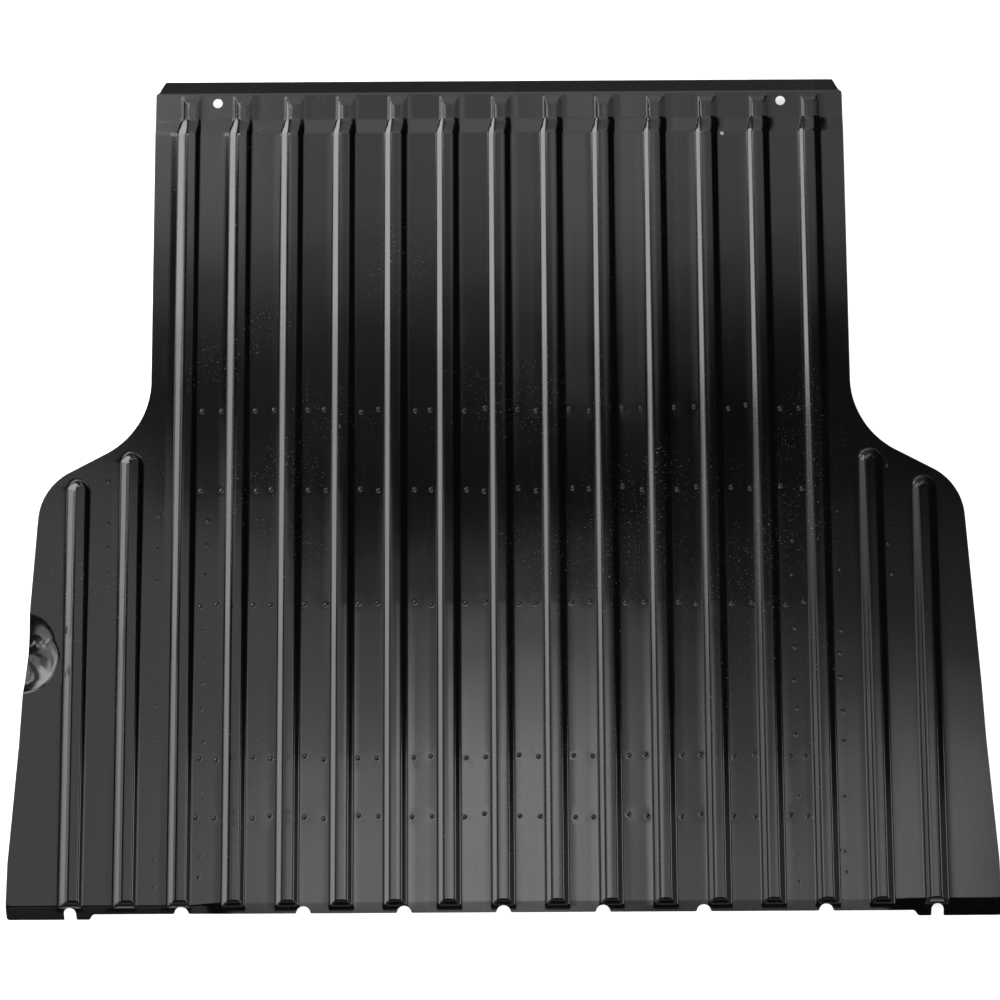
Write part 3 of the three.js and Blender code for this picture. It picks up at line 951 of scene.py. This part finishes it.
# Lamps over a diffusing ceiling: the window that each lights, as left, right, rear and front in metres, the
# width of its soft edge across and along the panel, and its radiance.
LAMPS = (
    (-2.4, -1.1, -1.6, 0.6, 0.3, 0.2, 1.2),
    (-1.1, -0.6, -1.6, 0.42, 0.3, 0.3, 1.15),
    (-1.1, -0.6, -1.6, -0.35, 0.3, 0.4, 0.45),
    (-0.65, -0.18, -1.6, 0.2, 0.2, 0.5, 1.0),
    (-0.65, -0.18, -1.6, -0.35, 0.3, 0.5, 1.9),
    (-0.2, 0.3, -1.6, 0.2, 0.12, 0.3, 1.3),
    (-0.2, 0.3, -1.6, -0.12, 0.12, 0.5, 3.0),
    (0.28, 0.5, -1.6, 0.1, 0.1, 0.5, 1.3),
    (0.5, 0.98, -1.6, 0.0, 0.1, 0.7, 0.7),
    (0.5, 0.98, -1.6, -0.5, 0.1, 0.4, 0.9),
    (0.98, 1.5, -1.6, -0.2, 0.1, 0.5, 2.2),
    (0.98, 1.7, -1.6, 0.4, 0.1, 0.4, 0.3),
    (-1.3, -0.7, 1.2, 2.0, 0.3, 0.5, 1.0),
    (-1.3, 1.3, 1.15, 4.3, 0.3, 0.5, 1.1),
    (-1.2, 0.1, 0.55, 1.2, 0.3, 0.4, 0.1),
    (0.15, 0.48, 0.75, 2.0, 0.1, 0.5, 0.9),
    (-3.0, -1.15, 1.7, 2.9, 0.1, 0.1, 5.0),
    (-1.4, 0.7, 2.2, 3.2, 0.5, 0.3, 0.6),
    (-1.4, 1.4, 3.2, 3.9, 0.3, 0.2, 0.8),
    (1.25, 2.9, 1.3, 2.3, 0.3, 0.3, 0.8),
)
CEILING_REACH = ((-3, 3), (-2.5, 4.7))


def ceiling():
    """The diffusing ceiling: one area light whose radiance is the sum of its lamps' soft-edged windows."""
    (x0, x1), (y0, y1) = CEILING_REACH
    sheet = softbox("ceiling", ((x0 + x1) / 2, (y0 + y1) / 2, CEILING), (x1 - x0, y1 - y0), 1)
    sheet.data.use_nodes = True
    nodes, links = sheet.data.node_tree.nodes, sheet.data.node_tree.links
    place = nodes.new("ShaderNodeSeparateXYZ")
    links.new(nodes.new("ShaderNodeNewGeometry").outputs["Parametric"], place.inputs[0])

    def combine(operation, a, b):
        node = nodes.new("ShaderNodeMath")
        node.operation = operation
        for socket, value in zip(node.inputs, (a, b)):
            if isinstance(value, (int, float)):
                socket.default_value = value
            else:
                links.new(value, socket)
        return node.outputs[0]

    def rise(axis, at, soft):
        """0 to 1 across a soft edge at a place along X or Y."""
        start, end = CEILING_REACH[axis]
        node = nodes.new("ShaderNodeMapRange")
        node.interpolation_type = "SMOOTHSTEP"
        links.new(place.outputs[axis], node.inputs["Value"])
        node.inputs["From Min"].default_value = (at - soft / 2 - start) / (end - start)
        node.inputs["From Max"].default_value = (at + soft / 2 - start) / (end - start)
        return node.outputs[0]

    total = 0.0
    for left, right, rear, front, soft_x, soft_y, radiance in LAMPS:
        across = combine("SUBTRACT", rise(0, left, soft_x), rise(0, right, soft_x))
        length = combine("SUBTRACT", rise(1, rear, soft_y), rise(1, front, soft_y))
        lamp = combine("MULTIPLY", combine("MULTIPLY", across, length), radiance)
        total = combine("ADD", total, lamp)
    links.new(total, nodes["Emission"].inputs["Strength"])
    return sheet


def side_wall(name, x, y, z, radiance):
    """An upright softbox left or right of the panel, facing it."""
    place = (x, (y[0] + y[1]) / 2, (z[0] + z[1]) / 2)
    turn = (0, -90, 0) if x < 0 else (0, 90, 0)
    return softbox(name, place, (z[1] - z[0], y[1] - y[0]), radiance, turn)


def end_wall(name, x, y, z, radiance):
    """An upright softbox ahead of or behind the panel, facing it."""
    place = ((x[0] + x[1]) / 2, y, (z[0] + z[1]) / 2)
    turn = (90, 0, 0) if y < 0 else (-90, 0, 0)
    return softbox(name, place, (x[1] - x[0], z[1] - z[0]), radiance, turn)


WALL_LAMPS = (
    ("left_rear_low", -3, (-2.5, 0), (0.15, 1.5), 4.7),
    ("left_rear_high", -3, (-2.5, -0.05), (1.5, 2.4), 2.2),
    ("left_middle_low", -3, (0, 0.9), (0.15, 1.72), 5.3),
    ("left_middle_high", -3, (0, 0.9), (1.72, 2.4), 0.8),
    ("left_front", -3, (0.9, 4.2), (0.15, 2.3), 7.6),
    ("left_top", -3, (0.35, 1.6), (2.4, 3.3), 2.5),
    ("right_rear_low", 3, (-2.5, -0.45), (0.1, 2.1), 0.35),
    ("right_rear_high", 3, (-2.5, -0.3), (2.1, 3.3), 4.2),
)


def lights():
    ceiling()
    for lamp in WALL_LAMPS:
        side_wall(*lamp)
    end_wall("rear_wall", (-2.5, 2.5), -3.2, (0.8, 2.0), 0.5)
    end_wall("front_wall", (-2.5, 2.5), 3.6, (0.8, 2.15), 0.35)
    end_wall("front_high", (-1.7, 1.7), 3.6, (2.2, 2.75), 1.5)


def stage_light(ground):
    """A wide light that only the floor takes, and that nothing shades."""
    lamp = softbox("stage_light", (0, 0, 6), (44, 44), 1.15)
    floor_only = bpy.data.collections.new("floor_only")
    floor_only.objects.link(ground)
    lamp.light_linking.receiver_collection = floor_only
    lamp.light_linking.blocker_collection = floor_only


def world():
    """A pale backdrop behind the floor's end, and almost no light from it."""
    background = bpy.data.worlds.new("world")
    background.use_nodes = True
    nodes, links = background.node_tree.nodes, background.node_tree.links
    nodes["Background"].inputs["Color"].default_value = (1, 1, 1, 1)
    pale = nodes.new("ShaderNodeBackground")
    pale.inputs["Strength"].default_value = 1.0
    nodes["Background"].inputs["Strength"].default_value = 0.02
    rays = nodes.new("ShaderNodeLightPath")
    mix = nodes.new("ShaderNodeMixShader")
    links.new(rays.outputs["Is Camera Ray"], mix.inputs["Fac"])
    links.new(nodes["Background"].outputs["Background"], mix.inputs[1])
    links.new(pale.outputs["Background"], mix.inputs[2])
    links.new(mix.outputs["Shader"], nodes["World Output"].inputs["Surface"])
    bpy.context.scene.world = background


def stand_for(piece, node, material):
    """A piece takes its CAD node's place and finish."""
    piece.data.materials.append(material)
    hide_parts(node)
    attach(piece, "root")


camera()

sheet_coat = ecoat("sheet_ecoat", 0.0012, 0.13, 0.06, 0.5)
sill_coat = ecoat("sill_ecoat", 0.004, 0.3, 0.16, 0.7)
nut_coat = nut_finish()

stand_for(floor_panel(), "floor_panel", sheet_coat)
for node, rows in (("second_cross_sill", WELD_ROWS[3:]), ("fourth_cross_sill", WELD_ROWS[:2])):
    stand_for(cross_sill(node, rows), node, sill_coat)
stand_for(step_sill("third_cross_sill"), "third_cross_sill", sill_coat)
for hand, side in (("left", -1), ("right", 1)):
    for stretch in ("front", "middle", "rear"):
        node = f"long_sill_{hand}_{stretch}"
        stand_for(long_sill(node, side), node, sill_coat)
    node = f"wheel_house_bracket_{hand}"
    stand_for(bracket(node, side), node, sill_coat)
    for stretch in ("front", "rear"):
        node = f"mount_pad_{hand}_{stretch}"
        stand_for(mount_pad(node), node, sill_coat)
        node = f"weld_nut_{hand}_{stretch}"
        stand_for(weld_nut(node), node, nut_coat)

reach = 20
ground_mesh = bpy.data.meshes.new("ground")
ground_mesh.from_pydata([(-reach, -reach, 0), (reach, -reach, 0), (reach, reach, 0), (-reach, reach, 0)], [],
                        [(0, 1, 2, 3)])
ground_mesh.materials.append(studio_floor())
ground = link("ground", ground_mesh)
lights()
stage_light(ground)
world()
bpy.context.scene.view_settings.view_transform = "Standard"
